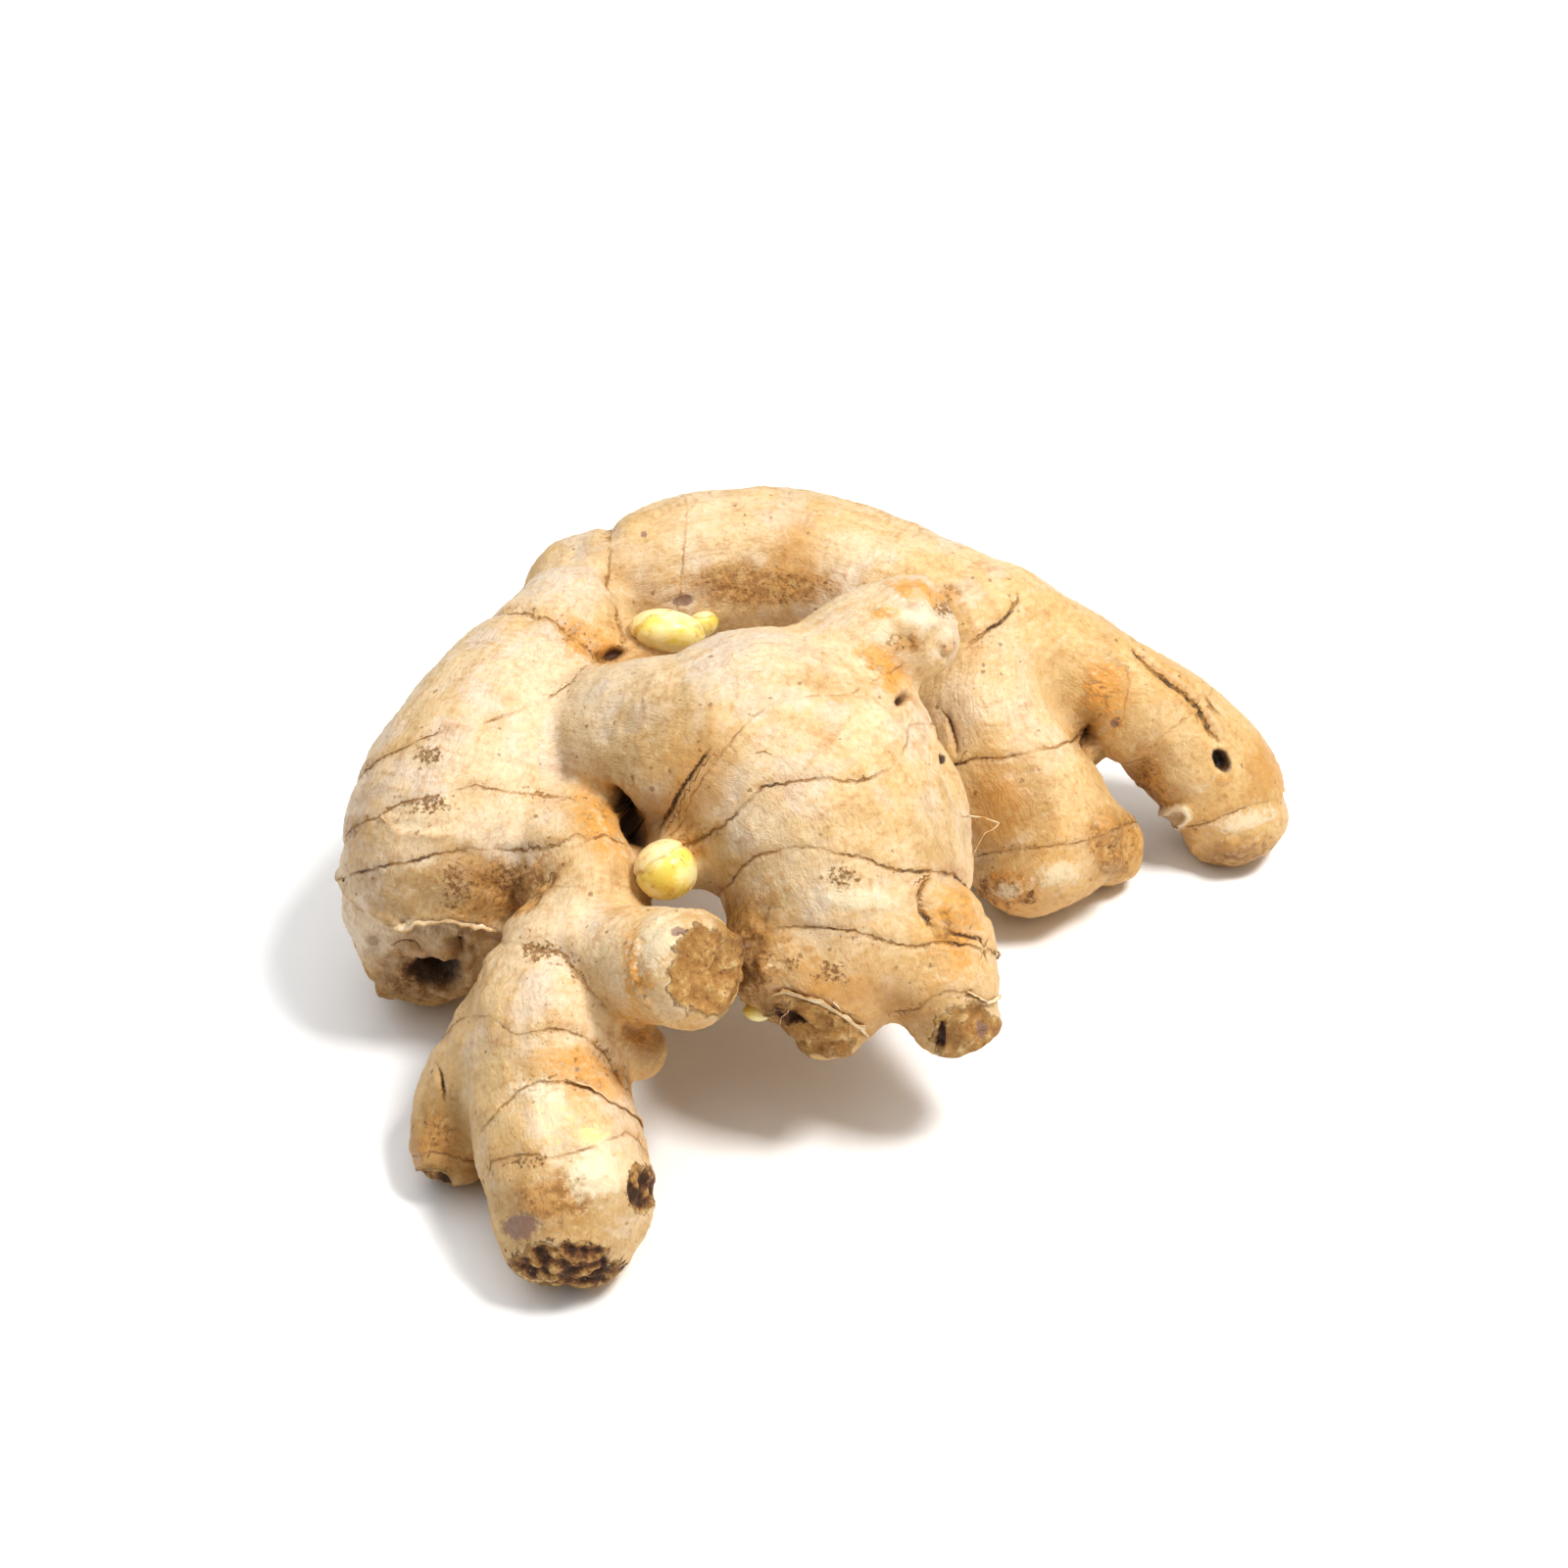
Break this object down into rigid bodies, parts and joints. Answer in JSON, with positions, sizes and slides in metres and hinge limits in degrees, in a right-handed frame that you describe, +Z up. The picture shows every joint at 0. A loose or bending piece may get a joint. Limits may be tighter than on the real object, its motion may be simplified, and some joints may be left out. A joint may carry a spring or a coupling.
{
  "type": "ginger root",
  "caption": "Whole fresh ginger rhizome of knobbly branching fingers, grown as one piece, lying on its finger tips.",
  "frame": {"origin": "at table height, under the middle of the rhizome's outline seen from above", "axes": "+Z up as it lies, +X along its longest spread from the left body to the right finger's tip, +Y towards the rear arch"},
  "size_m": [0.162, 0.151, 0.0696],
  "materials": {
    "ginger_skin": "thin matt skin, pale tan, slightly moist and satin where it is bare"
  },
  "bodies": {
    "root": {"ginger_rhizome": "ginger_skin"}
  },
  "joints": []
}
